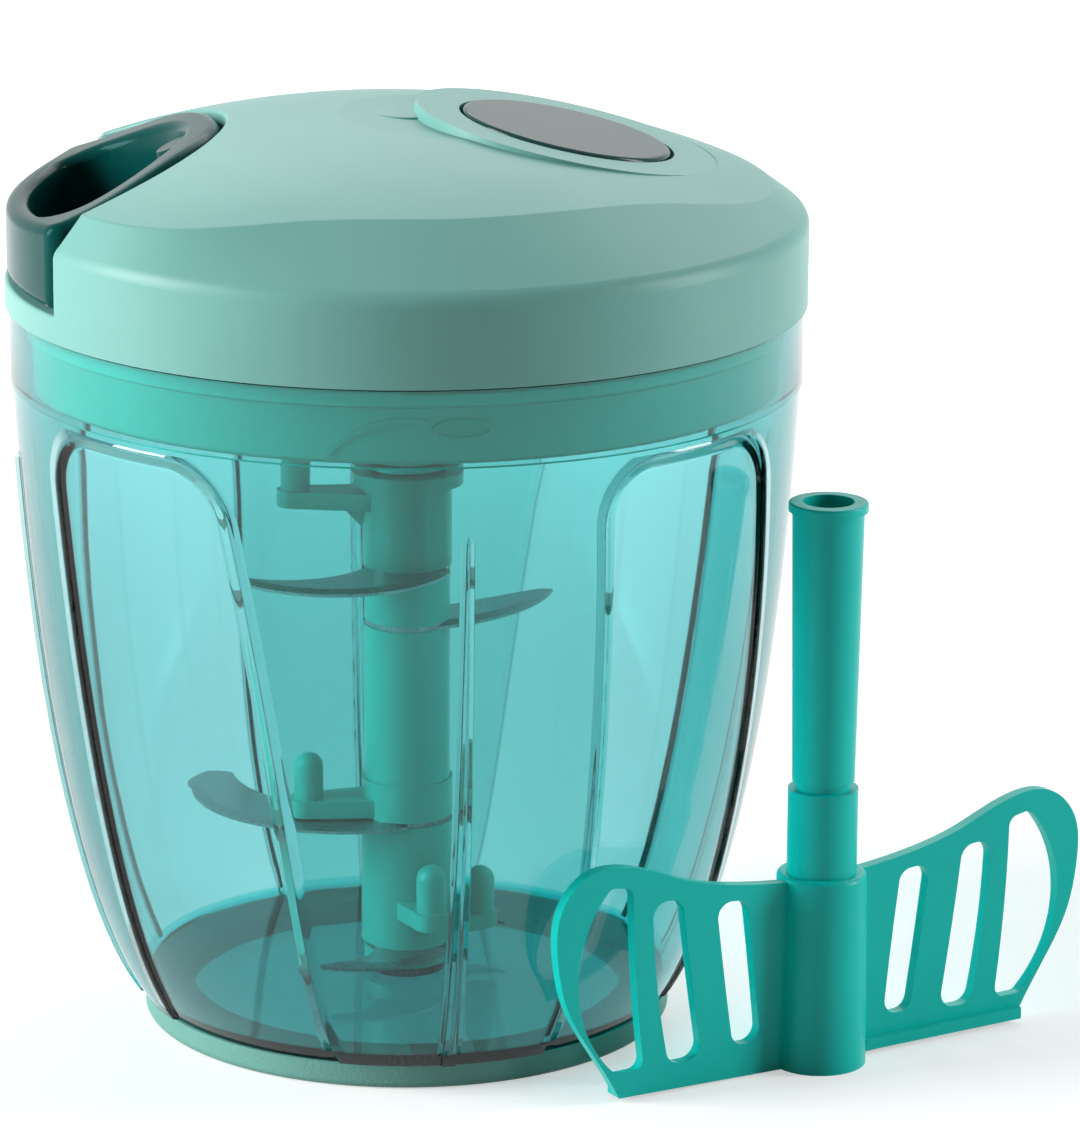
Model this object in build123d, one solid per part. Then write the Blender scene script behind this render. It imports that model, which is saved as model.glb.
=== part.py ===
"""Pull-cord food chopper: clear bowl, stacked blade unit, lid with a cord reel, and a whisk.

Millimetres, +Z up. The origin is on the bowl's axis, at the underside of the base ring.
The pull handle points to -X and the badge lies on the +X side of the lid.
"""
from build123d import *
from math import cos, hypot, radians, sin
import os

# ---- driving dimensions: bowl ----
BASE_RING_HEIGHT = 4.2
BASE_RING_OUTER = 45.0
BASE_RING_INNER = 37.0
FOOT_RADIUS = 45.4
RIM_HEIGHT = 124.0
COLLAR_DEPTH = 12.7
SHOULDER_HEIGHT = RIM_HEIGHT - COLLAR_DEPTH
SHOULDER_RADIUS = 66.1
COLLAR_RADIUS = SHOULDER_RADIUS + 0.4
BOWL_WALL = 2.6
FLOOR_THICKNESS = 2.6
BELLY_LOW = (SHOULDER_RADIUS - 6.6, 23.5)
BELLY_HIGH = (SHOULDER_RADIUS - 1.6, SHOULDER_HEIGHT - 31.6)
PANEL_COUNT = 4
PANEL_DEPTH = 0.9
PANEL_SOFT = 0.42
PANEL_AZIMUTH = -44.0
PANEL_TOP = SHOULDER_HEIGHT - 1.5
PANEL_CORNER = 10.0
PANEL_LEFT_TOP = -19.6
PANEL_LEFT_FOOT = -12.2
PANEL_RIGHT_TOP = 18.4
PANEL_RIGHT_MIDDLE = 24.6
PANEL_RIGHT_FOOT = 21.8
RIB_AZIMUTH = 8.5
RIB_PROUD = 0.7
RIB_TOP = SHOULDER_HEIGHT - 13.3
RIB_FOOT_WIDTH = 2.4
RIB_TOP_WIDTH = 0.5
PIN_RADIUS = 3.0
PIN_TOP = 19.0
PIN_BOSS_RADIUS = 6.5
PIN_BOSS_HEIGHT = 1.4

# ---- driving dimensions: lid cover and badge ----
LID_RADIUS = COLLAR_RADIUS + 0.5
SKIRT_HEIGHT = 15.0
LID_WALL = 2.2
CROWN_HEIGHT = RIM_HEIGHT + 32.5
CROWN_RADIUS = 165.0
CROWN_OFFSET = -3.0
OUTLINE_HEIGHT = RIM_HEIGHT + 28.0
FRONT_OUTLINE = (
    (0.743, 0.0), (0.693, -0.216), (0.530, -0.393), (0.321, -0.561),
    (0.070, -0.663), (-0.285, -0.657), (-0.585, -0.585), (-0.836, 0.0),
)
FLANK_SLOPE = 28.0
CREASE_EDGE = 1.0
SKIRT_EDGE = 3.0
PAD_CENTRE = (6.0, -3.0)
PAD_DEPTH = 0.9
LID_GAP = 0.3
PLATEAU_RADIUS = 25.6
PLATEAU_CENTRE = (26.5, CROWN_HEIGHT - 4.1)
PLATEAU_TILT = 12.0
BADGE_RADIUS = 17.7
BADGE_GAP = 0.6
BADGE_THICKNESS = 2.4
BADGE_PROUD = 0.5

# ---- driving dimensions: gear housing, seal and screws ----
HOUSING_GAP = 0.9
HOUSING_RADIUS = SHOULDER_RADIUS - BOWL_WALL - HOUSING_GAP
HOUSING_WALL = 2.0
RIM_FLANGE = 1.2
SEAL_LOW = RIM_HEIGHT - 3.4
SEAL_HEIGHT = 3.0
SEAL_GROOVE = 1.0
SEAL_GAP = 0.2
SCREW_CIRCLE = HOUSING_RADIUS - 10.6
SCREW_ANGLES = (0.0, 60.0, 115.0, -115.0, -60.0)
SCREW_RADIUS = 1.5
SCREW_HEAD = 3.0
SCREW_HEAD_HEIGHT = 1.7
SCREW_LENGTH = 24.0
POST_RADIUS = 3.6
POST_SEAT = RIM_HEIGHT + 2.4
NOZZLE_WALL = 3.0
BEARING_WALL = 4.0

# ---- driving dimensions: handle and its pocket ----
POCKET_FLOOR = RIM_HEIGHT + 4.8
POCKET_EDGE = 0.6
POCKET_CENTRE = 1.0 - LID_RADIUS
HANDLE_RADIUS = 35.0
HANDLE_GAP = 1.0
HANDLE_SEAT = 0.4
HANDLE_RIM = LID_RADIUS - 0.4
HANDLE_PARTING = RIM_HEIGHT + 10.6
HANDLE_CORNER = 3.0
HANDLE_EDGE = 1.8
HANDLE_FOOT = 2.0
HANDLE_TOP = ((-0.06, 17.3), (0.17, 18.4), (0.43, 21.6), (0.66, 25.6), (0.83, 28.4), (1.06, 29.6))
LOOP_CENTRE = POCKET_CENTRE + 2.0
LOOP_RADIUS = HANDLE_RADIUS - 8.0
LOOP_RIM = HANDLE_RIM - 4.2
LOOP_CORNER = 6.0
ANCHOR_RADIUS = 3.4
KNOT_RADIUS = 2.1
HANDLE_SCREW_ANGLE = 71.6
HANDLE_SCREW_RADIUS = 1.2
HANDLE_SCREW_HEAD = 2.4

# ---- driving dimensions: reel, spring and cord ----
CORD_RADIUS = 0.9
CORD_HEIGHT = RIM_HEIGHT + 13.4
CORD_HOLE = 2.6
LEAD_BEND = 6.0
WINDING_RADIUS = 20.0
WINDING_HEIGHT = 5.6
DRUM_RADIUS = 15.0
REEL_RADIUS = 23.5
REEL_FLANGE = 1.5
REEL_LOW = CORD_HEIGHT - WINDING_HEIGHT / 2 - REEL_FLANGE
WASHER = 1.0
BEARING_TOP = REEL_LOW - WASHER - 0.1
SPRING_HEIGHT = 5.0
SPRING_STRIP = 0.6
SPRING_PITCH = 2.2
SPRING_TURNS = 6
SPRING_GAP = 0.4
CUP_WALL = 1.5
CUP_FLOOR = REEL_LOW + 2 * REEL_FLANGE + WINDING_HEIGHT
CAP_THICKNESS = 1.0
ARBOR_RADIUS = 3.4
SHAFT_RADIUS = 6.5
HEX_ACROSS = 8.0
HEX_GAP = 0.2
RUNNING = 0.08
PRESSED = 0.02

# ---- driving dimensions: blade unit ----
UNIT_BOTTOM = BASE_RING_HEIGHT + FLOOR_THICKNESS + PIN_BOSS_HEIGHT + 0.3
LOWER_BLADE = 11.0
MIDDLE_BLADE = 33.5
NOZZLE_END = SHOULDER_HEIGHT - 13.8
UNIT_TOP = NOZZLE_END - 2.0
UPPER_BLADE = UNIT_TOP - 18.0
SECOND_BLADE = UPPER_BLADE - 9.5
SEAM_HEIGHT = UPPER_BLADE - 15.5
BLADE_THICKNESS = 1.0
BLADE_ROOT = 7.1
BLADE_BEVEL = (0.5, 1.8)
UPPER_REACH = 30.6
SECOND_REACH = 31.5
MIDDLE_REACH = 43.0
LOWER_REACH = 21.7
LOW_REACH = 19.0
SPACER_RADIUS = 7.3
LOWER_SPACER_RADIUS = 7.8
SOCKET_RADIUS = 7.6
SOCKET_RIM = 9.5
SOCKET_FLOOR = 0.7
ARM_THICKNESS = 3.0
ARM_TIP = 3.0
PEG_RADIUS = 2.5
PEG_HEIGHT = 8.0

# ---- driving dimensions: whisk ----
WHISK_DISTANCE = LID_RADIUS + 8.64
WHISK_AZIMUTH = -24.2
WHISK_TURN = 30.0
WHISK_HUB_RADIUS = 8.0
WHISK_HUB_TAPER = 0.5
WHISK_HUB_HEIGHT = 33.5
WHISK_SLEEVE_RADIUS = 5.85
WHISK_SLEEVE_TOP = 48.0
WHISK_GROOVE = 1.3
WHISK_NECK = 4.6
WHISK_TUBE_LOW = 5.2
WHISK_TUBE_HIGH = 6.0
WHISK_HEIGHT = 97.0
WHISK_BORE = 4.3
WHISK_BORE_DEPTH = 30.0
WHISK_PLATE = 2.0
WHISK_LIP = 1.6

AXIS = Axis.Z


def rod(radius, low, high, x=0.0, y=0.0):
    """A plain upright cylinder."""
    return Pos(x, y, low) * Cylinder(radius, high - low, align=(Align.CENTER, Align.CENTER, Align.MIN))


def ring(outer, inner, low, high):
    """A plain ring about the main axis."""
    return rod(outer, low, high) - rod(inner, low - 1, high + 1)


def column(outline, low, high):
    """An outline in plan, made an upright prism."""
    return Pos(0, 0, low) * extrude(outline, high - low, dir=(0, 0, 1))


# ---- bowl ----
def bowl_profile(shift, low, high, collar):
    """The bowl's turned form up to a height, its radius shifted by an amount."""
    foot = (FOOT_RADIUS + shift, BASE_RING_HEIGHT)
    belly_low = (BELLY_LOW[0] + shift, BELLY_LOW[1])
    belly_high = (BELLY_HIGH[0] + shift, BELLY_HIGH[1])
    shoulder = (SHOULDER_RADIUS + shift, SHOULDER_HEIGHT)
    wall = Bezier(foot, belly_low, belly_high, shoulder)
    lines = [wall]
    if high > SHOULDER_HEIGHT:
        lines += [Polyline(shoulder, (collar, SHOULDER_HEIGHT + 0.4), (collar, high), (0, high))]
    else:
        lines += [Polyline(shoulder, (0, SHOULDER_HEIGHT))]
    lines += [Polyline((0, max(high, SHOULDER_HEIGHT)), (0, BASE_RING_HEIGHT), foot)]
    face = make_face(lines)
    form = revolve(Plane.XZ * face, AXIS)
    if low > BASE_RING_HEIGHT:
        form &= rod(2 * LID_RADIUS, low, high + 1)
    return form


def side_plane(azimuth):
    """An upright plane through the axis whose normal points out at an azimuth from -Y."""
    turn = radians(azimuth)
    return Plane(origin=(0, 0, 0), x_dir=(cos(turn), sin(turn), 0), z_dir=(sin(turn), -cos(turn), 0))


def panel_outline():
    """The arched outline of one recessed panel, seen square on."""
    left = Line((PANEL_LEFT_FOOT, 0), (PANEL_LEFT_TOP, PANEL_TOP))
    top = Line((PANEL_LEFT_TOP, PANEL_TOP), (PANEL_RIGHT_TOP, PANEL_TOP))
    middle = (PANEL_RIGHT_MIDDLE, 0.42 * PANEL_TOP)
    right = ThreePointArc((PANEL_RIGHT_TOP, PANEL_TOP), middle, (PANEL_RIGHT_FOOT, 0))
    foot = Line((PANEL_RIGHT_FOOT, 0), (PANEL_LEFT_FOOT, 0))
    face = make_face([left, top, right, foot])
    corners = [vertex for vertex in face.vertices() if vertex.Y > PANEL_TOP - 1]
    return fillet(corners, PANEL_CORNER)


def rib_outline():
    """The tall pointed outline of one thin rib."""
    low = RIB_FOOT_WIDTH / 2
    high = RIB_TOP_WIDTH / 2
    tip = [(high, RIB_TOP), (0, RIB_TOP + 2), (-high, RIB_TOP)]
    return make_face(Polyline([(-low, 0), (low, 0)] + tip + [(-low, 0)]))


def panel_cutter(turn):
    """Thin arched shell that sinks one panel, its inner edges rounded."""
    skin = bowl_profile(0, 0, SHOULDER_HEIGHT, 0) - bowl_profile(-PANEL_DEPTH, 0, SHOULDER_HEIGHT, 0)
    cutter = skin & extrude(side_plane(PANEL_AZIMUTH + turn) * panel_outline(), 2 * LID_RADIUS)
    broad = cutter.faces().sort_by(SortBy.AREA)[-2:]
    deep = min(broad, key=lambda face: face.center().X ** 2 + face.center().Y ** 2)
    edges = [edge for edge in deep.edges() if edge.bounding_box().max.Z > BASE_RING_HEIGHT + 0.5]
    return fillet(edges, PANEL_SOFT)


def sunk_panels(form):
    """The bowl's outer form with its panels sunk and their rims rounded."""
    for index in range(PANEL_COUNT):
        form = form - panel_cutter(index * 360 / PANEL_COUNT)
    skin = form.faces().filter_by(GeomType.REVOLUTION).sort_by(SortBy.AREA)[-1]
    rims = [edge for edge in skin.edges() if edge.geom_type == GeomType.BSPLINE]
    return fillet([edge for edge in rims if edge.bounding_box().size.Y > 1], PANEL_SOFT)


def make_bowl():
    """Clear bowl with a plain collar, recessed arched panels and thin ribs."""
    bowl = sunk_panels(bowl_profile(0, 0, RIM_HEIGHT, COLLAR_RADIUS))
    floor = BASE_RING_HEIGHT + FLOOR_THICKNESS
    inner = bowl_profile(-BOWL_WALL, floor, RIM_HEIGHT, SHOULDER_RADIUS - BOWL_WALL)
    proud = bowl_profile(RIB_PROUD, 0, SHOULDER_HEIGHT, 0) - bowl_profile(-0.3, 0, SHOULDER_HEIGHT, 0)
    for index in range(PANEL_COUNT):
        azimuth = RIB_AZIMUTH + index * 360 / PANEL_COUNT
        bowl += proud & extrude(side_plane(azimuth) * rib_outline(), 2 * LID_RADIUS)
    bowl -= inner
    bowl += rod(PIN_BOSS_RADIUS, BASE_RING_HEIGHT + 0.5, floor + PIN_BOSS_HEIGHT)
    bowl -= rod(PIN_RADIUS, BASE_RING_HEIGHT + 0.5, RIM_HEIGHT)
    return bowl


def make_base_ring():
    """Soft non-slip ring under the bowl."""
    body = ring(BASE_RING_OUTER, BASE_RING_INNER, 0, BASE_RING_HEIGHT)
    low_edges = body.edges().group_by(Axis.Z)[0]
    return fillet(low_edges, 1.2)


def make_bowl_pin():
    """Steel pin in the bowl's floor, which the blade unit turns on."""
    pin = rod(PIN_RADIUS, BASE_RING_HEIGHT + 0.5, PIN_TOP)
    return chamfer(pin.edges().group_by(Axis.Z)[-1], 0.8)


# ---- lid ----
def top_outline():
    """Drop-shaped outline of the top face, where its flanks reach their full height."""
    front = [(LID_RADIUS * x, LID_RADIUS * y) for x, y in FRONT_OUTLINE]
    back = [(x, -y) for x, y in front[-2:0:-1]]
    return make_face(Spline(front + back, periodic=True))


def flank_form(inset):
    """Flanks that rise from the round skirt to the drop-shaped outline."""
    drop = inset / cos(radians(FLANK_SLOPE))
    foot = RIM_HEIGHT + SKIRT_HEIGHT - drop
    head = OUTLINE_HEIGHT - drop
    flanks = loft([Pos(0, 0, foot) * Circle(LID_RADIUS), Pos(0, 0, head) * top_outline()], ruled=True)
    return rod(LID_RADIUS, RIM_HEIGHT - 5, foot) + flanks + column(top_outline(), head, CROWN_HEIGHT + 10)


def lid_form(inset):
    """The lid's closed outer form, or the same form set inwards by a wall."""
    dome = Pos(CROWN_OFFSET, 0, CROWN_HEIGHT - CROWN_RADIUS) * Sphere(CROWN_RADIUS - inset)
    return (rod(LID_RADIUS - inset, RIM_HEIGHT + LID_GAP, CROWN_HEIGHT + 5) & dome) & flank_form(inset)


def plateau_plane():
    """Tilted plane of the badge's face."""
    tilt = radians(PLATEAU_TILT)
    origin = (PLATEAU_CENTRE[0], 0, PLATEAU_CENTRE[1])
    return Plane(origin=origin, x_dir=(cos(tilt), 0, -sin(tilt)), z_dir=(sin(tilt), 0, cos(tilt)))


def tilted_disc(radius, low, high):
    """A disc on the badge's plane, between two heights over it."""
    disc = Cylinder(radius, high - low, align=(Align.CENTER, Align.CENTER, Align.MIN))
    return plateau_plane().location * Pos(0, 0, low) * disc


def pocket_outline(margin):
    """Round outline in plan of the pocket that the handle sits in."""
    return Pos(POCKET_CENTRE, 0) * Circle(HANDLE_RADIUS + HANDLE_GAP + margin)


def screw_places():
    """Where the housing's screws stand, in plan."""
    return [
        (SCREW_CIRCLE * cos(radians(angle)), SCREW_CIRCLE * sin(radians(angle)))
        for angle in SCREW_ANGLES
    ]


def flat_pad(form):
    """Cuts the slightly flattened round pad into the crown, beside the badge's plateau."""
    x, y = PAD_CENTRE[0] - CROWN_OFFSET, PAD_CENTRE[1]
    height = CROWN_HEIGHT - CROWN_RADIUS + (CROWN_RADIUS**2 - x**2 - y**2) ** 0.5
    normal = (x, y, height - CROWN_HEIGHT + CROWN_RADIUS)
    pad = Plane(origin=(PAD_CENTRE[0], PAD_CENTRE[1], height), z_dir=normal)
    cutter = Cylinder(PLATEAU_RADIUS, 6, align=(Align.CENTER, Align.CENTER, Align.MIN))
    return form - pad.location * Pos(0, 0, -PAD_DEPTH) * cutter


def soft_lid_form():
    """The lid's outer form with its long edges rounded and the badge's plateau on it."""
    form = lid_form(0)
    skirt_top = RIM_HEIGHT + SKIRT_HEIGHT
    rounds = [edge for edge in form.edges() if edge.bounding_box().size.Y > LID_RADIUS]
    form = fillet([edge for edge in rounds if abs(edge.center().Z - skirt_top) < 0.1], SKIRT_EDGE)
    rounds = [edge for edge in form.edges() if edge.bounding_box().size.Y > LID_RADIUS]
    form = fillet([edge for edge in rounds if edge.bounding_box().min.Z > skirt_top + 3], CREASE_EDGE)
    form = flat_pad(form) + tilted_disc(PLATEAU_RADIUS, -6, 0)
    return form - tilted_disc(PLATEAU_RADIUS + 0.01, 0, 12)


def on_pocket_wall(edge):
    """Whether an edge runs along the wall of the handle's pocket."""
    wall = HANDLE_RADIUS + HANDLE_GAP
    points = [edge @ share - Vector(POCKET_CENTRE, 0, 0) for share in (0.02, 0.3, 0.5, 0.7, 0.98)]
    return all(abs(hypot(point.X, point.Y) - wall) < 0.02 for point in points)


def pocketed_lid_form():
    """The soft form with the handle's pocket cut into it and the pocket's rim and ledge rounded."""
    form = soft_lid_form() - column(pocket_outline(0), POCKET_FLOOR, CROWN_HEIGHT + 10)
    walls = [edge for edge in form.edges() if on_pocket_wall(edge)]
    rim = [edge for edge in walls if edge.bounding_box().max.Z > POCKET_FLOOR + 1]
    ledge = [
        edge for edge in form.edges().group_by(Axis.Z)[1]
        if edge.geom_type == GeomType.CIRCLE and not on_pocket_wall(edge)
    ]
    return fillet(rim + ledge, POCKET_EDGE)


def make_lid_cover():
    """Moulded top cover: crowned shell, handle pocket, badge recess, screw posts and arbor boss."""
    outer = pocketed_lid_form()
    badge_floor = BADGE_THICKNESS - BADGE_PROUD
    backing = tilted_disc(BADGE_RADIUS + BADGE_GAP + LID_WALL, -badge_floor - LID_WALL, 12)
    cavity = lid_form(LID_WALL) - backing
    cover = outer - cavity
    tub = column(pocket_outline(LID_WALL - 0.2), POCKET_FLOOR - LID_WALL + 0.2, CROWN_HEIGHT)
    cover += tub & lid_form(LID_WALL / 2)
    posts = [rod(POST_RADIUS, POST_SEAT, CROWN_HEIGHT, x, y) for x, y in screw_places()]
    posts.append(rod(ARBOR_RADIUS + 3, CROWN_HEIGHT - 6, CROWN_HEIGHT))
    for post in posts:
        cover += post & lid_form(0.5)
    cover -= column(pocket_outline(0), POCKET_FLOOR, CROWN_HEIGHT + 10)
    cover -= tilted_disc(BADGE_RADIUS + BADGE_GAP, -badge_floor, 12)
    for x, y in screw_places():
        cover -= rod(SCREW_RADIUS, RIM_HEIGHT, SHOULDER_HEIGHT + SCREW_LENGTH + 1.0, x, y)
    cover -= rod(ARBOR_RADIUS, 0, CROWN_HEIGHT - LID_WALL - 0.6)
    cover -= lying_rod(CORD_HOLE, pocket_wall() - 5, pocket_wall() + 6)
    return cover


def make_badge():
    """Plain glossy disc in the plateau, with a rounded rim."""
    floor = BADGE_PROUD - BADGE_THICKNESS
    badge = tilted_disc(BADGE_RADIUS, floor, BADGE_PROUD)
    top = badge.faces().sort_by(Axis.Z)[-1]
    return fillet(top.edges(), 0.8)


# ---- gear housing, seal and screws ----
def housing_marks():
    """Raised oval and curved rib moulded on the front of the housing's skirt."""
    skin = ring(HOUSING_RADIUS + 0.45, HOUSING_RADIUS - 0.2, SHOULDER_HEIGHT + 1.2, SEAL_LOW - 0.6)
    middle = SHOULDER_HEIGHT + 5.7
    oval = Pos(0, middle) * (Ellipse(5.0, 1.9) - Ellipse(4.1, 1.1))
    upper = ThreePointArc((-8.2, middle - 4.4), (-3.5, middle - 0.1), (8.2, middle + 1.6))
    lower = ThreePointArc((8.2, middle + 0.9), (-3.0, middle - 0.9), (-7.4, middle - 4.4))
    ends = [Line(upper @ 1, lower @ 0), Line(lower @ 1, upper @ 0)]
    curved = make_face([upper, lower] + ends)
    marks = extrude(side_plane(8.0) * oval, LID_RADIUS)
    marks += extrude(side_plane(-4.5) * curved, LID_RADIUS)
    return skin & marks


def make_gear_housing():
    """Lower housing that plugs into the collar and carries the reel's bearing and the nozzle."""
    floor = SHOULDER_HEIGHT
    body = rod(HOUSING_RADIUS, floor, RIM_HEIGHT)
    body = fillet(body.edges().group_by(Axis.Z)[0], 1.0)
    body += rod(LID_RADIUS - LID_WALL - LID_GAP, RIM_HEIGHT, RIM_HEIGHT + RIM_FLANGE)
    body -= rod(HOUSING_RADIUS - HOUSING_WALL, floor + HOUSING_WALL, CROWN_HEIGHT)
    body -= ring(LID_RADIUS, HOUSING_RADIUS - SEAL_GROOVE, SEAL_LOW, SEAL_LOW + SEAL_HEIGHT)
    body += rod(SHAFT_RADIUS + BEARING_WALL, floor + 1, BEARING_TOP)
    body += rod(SHAFT_RADIUS + NOZZLE_WALL, NOZZLE_END, floor + 1)
    for x, y in screw_places():
        body += rod(POST_RADIUS + 0.4, floor + 1, POST_SEAT, x, y)
        body -= rod(SCREW_RADIUS + 0.2, floor - 1, CROWN_HEIGHT, x, y)
        body -= rod(SCREW_HEAD + 0.3, floor - 1, floor + SCREW_HEAD_HEIGHT + 0.4, x, y)
    body -= rod(SHAFT_RADIUS + RUNNING, NOZZLE_END - 1, CROWN_HEIGHT)
    return body + housing_marks()


def make_seal_ring():
    """Soft dark seal in the housing's groove."""
    outer = SHOULDER_RADIUS - BOWL_WALL - SEAL_GAP
    seal = ring(outer, HOUSING_RADIUS - SEAL_GROOVE + 0.05, SEAL_LOW + 0.1, SEAL_LOW + SEAL_HEIGHT - 0.1)
    outside = seal.edges().filter_by(GeomType.CIRCLE).sort_by(SortBy.RADIUS)[-2:]
    return fillet(outside, 0.6)


def make_housing_screw(x, y):
    """Screw that goes up through the housing into the cover's post."""
    seat = SHOULDER_HEIGHT + SCREW_HEAD_HEIGHT + 0.4
    head = rod(SCREW_HEAD, seat - SCREW_HEAD_HEIGHT, seat, x, y)
    return head + rod(SCREW_RADIUS - PRESSED, seat, seat + SCREW_LENGTH - SCREW_HEAD_HEIGHT, x, y)


# ---- reel, spring and cord ----
def make_thrust_washer():
    """Washer that the reel turns on."""
    return ring(SHAFT_RADIUS + BEARING_WALL + 0.5, SHAFT_RADIUS + 0.7, BEARING_TOP, BEARING_TOP + WASHER)


def spring_outer():
    """Radius that the wound spring reaches."""
    return ARBOR_RADIUS + SPRING_GAP + SPRING_STRIP + SPRING_PITCH * SPRING_TURNS


def make_reel():
    """Cord reel: drum between two flanges, with the spring's cup on top."""
    winding_top = REEL_LOW + REEL_FLANGE + WINDING_HEIGHT
    cup = spring_outer() + SPRING_GAP
    cup_top = CUP_FLOOR + SPRING_HEIGHT + 2 * SPRING_GAP
    reel = rod(REEL_RADIUS, REEL_LOW, REEL_LOW + REEL_FLANGE)
    reel += rod(DRUM_RADIUS, REEL_LOW, CUP_FLOOR)
    reel += rod(REEL_RADIUS, winding_top, CUP_FLOOR)
    reel += rod(cup + CUP_WALL, CUP_FLOOR, cup_top)
    reel -= rod(cup, CUP_FLOOR, cup_top + 1)
    reel -= rod(SHAFT_RADIUS + PRESSED, REEL_LOW - 1, winding_top - 1)
    return reel


def make_spring_cap():
    """Thin cap that closes the spring's cup."""
    low = CUP_FLOOR + SPRING_HEIGHT + 2 * SPRING_GAP
    return ring(spring_outer() + SPRING_GAP + CUP_WALL, ARBOR_RADIUS + 1.2, low, low + CAP_THICKNESS)


def make_spiral_spring():
    """Flat steel spiral, wound as half rings about two centres in turn."""
    radius = ARBOR_RADIUS + SPRING_GAP
    spiral = Sketch()
    for index in range(2 * SPRING_TURNS):
        side = 1 - 2 * (index % 2)
        turn = Circle(radius + SPRING_STRIP) - Circle(radius)
        half = turn & (Pos(0, side * LID_RADIUS) * Rectangle(3 * LID_RADIUS, 2 * LID_RADIUS))
        spiral += Pos((index % 2) * SPRING_PITCH / 2, 0) * half
        radius += SPRING_PITCH / 2
    return column(spiral, CUP_FLOOR + SPRING_GAP, CUP_FLOOR + SPRING_GAP + SPRING_HEIGHT)


def make_spring_arbor():
    """Fixed pin under the crown that holds the spring's inner end."""
    return rod(ARBOR_RADIUS - PRESSED, CUP_FLOOR + SPRING_GAP, CROWN_HEIGHT - LID_WALL - 0.6)


def hexagon(across):
    """Six-sided outline by its width across the flats."""
    return RegularPolygon(across / 2, 6, major_radius=False)


def make_drive_dog():
    """Shaft pressed into the reel, with the hexagonal tongue that drives the blade unit."""
    shoulder = UNIT_TOP + 0.5
    dog = column(hexagon(HEX_ACROSS), UPPER_BLADE + BLADE_THICKNESS + SOCKET_FLOOR + 0.3, shoulder)
    dog = chamfer(dog.edges().group_by(Axis.Z)[0], 0.6)
    return dog + rod(SHAFT_RADIUS, shoulder, REEL_LOW + REEL_FLANGE + WINDING_HEIGHT - 1)


def make_cord_winding():
    """Closed outer shape of the cord's turns on the drum."""
    low = REEL_LOW + REEL_FLANGE
    return ring(WINDING_RADIUS - CORD_RADIUS - 0.3, DRUM_RADIUS + 0.05, low, low + WINDING_HEIGHT)


def pocket_wall():
    """Where the cord passes the pocket's wall, along X."""
    return POCKET_CENTRE + HANDLE_RADIUS + HANDLE_GAP


def lying_rod(radius, start, end):
    """A cylinder along X on the cord's line."""
    body = Cylinder(radius, end - start, rotation=(0, 90, 0))
    return Pos((start + end) / 2, 0, CORD_HEIGHT) * body


def make_cord_guide():
    """Flanged eyelet that the cord runs through."""
    wall = pocket_wall()
    seat = wall + LID_WALL - 0.2
    guide = lying_rod(CORD_HOLE - 0.05, wall, seat + 1) + lying_rod(CORD_HOLE + 1.4, seat, seat + 1.5)
    return guide - lying_rod(CORD_RADIUS + 0.4, wall - 1, seat + 4)


def make_cord_lead():
    """Cord from the guide to the point where it meets the winding."""
    contact = (-0.8 * WINDING_RADIUS, 0.6 * WINDING_RADIUS)
    ends = [(pocket_wall() - 0.8, 0), (-1.25 * WINDING_RADIUS, 0), contact]
    route = FilletPolyline([(x, y, CORD_HEIGHT) for x, y in ends], radius=LEAD_BEND)
    return sweep(Plane(origin=route @ 0, z_dir=route % 0) * Circle(CORD_RADIUS), path=route)


# ---- pull handle ----
def handle_plan():
    """The handle's loop in plan."""
    outer = (Pos(POCKET_CENTRE, 0) * Circle(HANDLE_RADIUS)) & Circle(HANDLE_RIM)
    hole = (Pos(LOOP_CENTRE, 0) * Circle(LOOP_RADIUS)) & Circle(LOOP_RIM)
    return fillet(outer.vertices(), HANDLE_CORNER) - fillet(hole.vertices(), LOOP_CORNER)


def anchor_place():
    """Middle of the boss that holds the cord's knot, along X."""
    return LOOP_CENTRE + LOOP_RADIUS - 1.2


def handle_screw_places():
    """Where the handle's two screws stand, in plan."""
    reach = (HANDLE_RADIUS + LOOP_RADIUS) / 2
    turn = radians(HANDLE_SCREW_ANGLE)
    return [(POCKET_CENTRE + reach * cos(turn), side * reach * sin(turn)) for side in (1, -1)]


def make_handle_lower():
    """Lower shell of the handle, which lies on the pocket's floor."""
    low = POCKET_FLOOR + HANDLE_SEAT
    handle = column(handle_plan(), low, HANDLE_PARTING)
    foot = handle.faces().sort_by(Axis.Z)[0]
    handle = fillet(foot.outer_wire().edges(), HANDLE_FOOT)
    handle += rod(ANCHOR_RADIUS, low + 2, HANDLE_PARTING, anchor_place(), 0)
    for x, y in handle_screw_places():
        handle -= rod(HANDLE_SCREW_RADIUS + 0.1, low - 1, HANDLE_PARTING + 1, x, y)
        handle -= rod(HANDLE_SCREW_HEAD + 0.2, low - 1, low + 2.0, x, y)
    return handle


def handle_slab(lift):
    """Everything under the handle's S-shaped top line, set up or down by a lift."""
    points = [(POCKET_CENTRE + x * HANDLE_RADIUS, RIM_HEIGHT + z + lift) for x, z in HANDLE_TOP]
    top = Spline(points)
    low = HANDLE_PARTING
    sides = Polyline(points[-1], (points[-1][0], low), (points[0][0], low), points[0])
    return extrude(Plane.XZ * make_face([top, sides]), HANDLE_RADIUS + 5, both=True)


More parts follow.
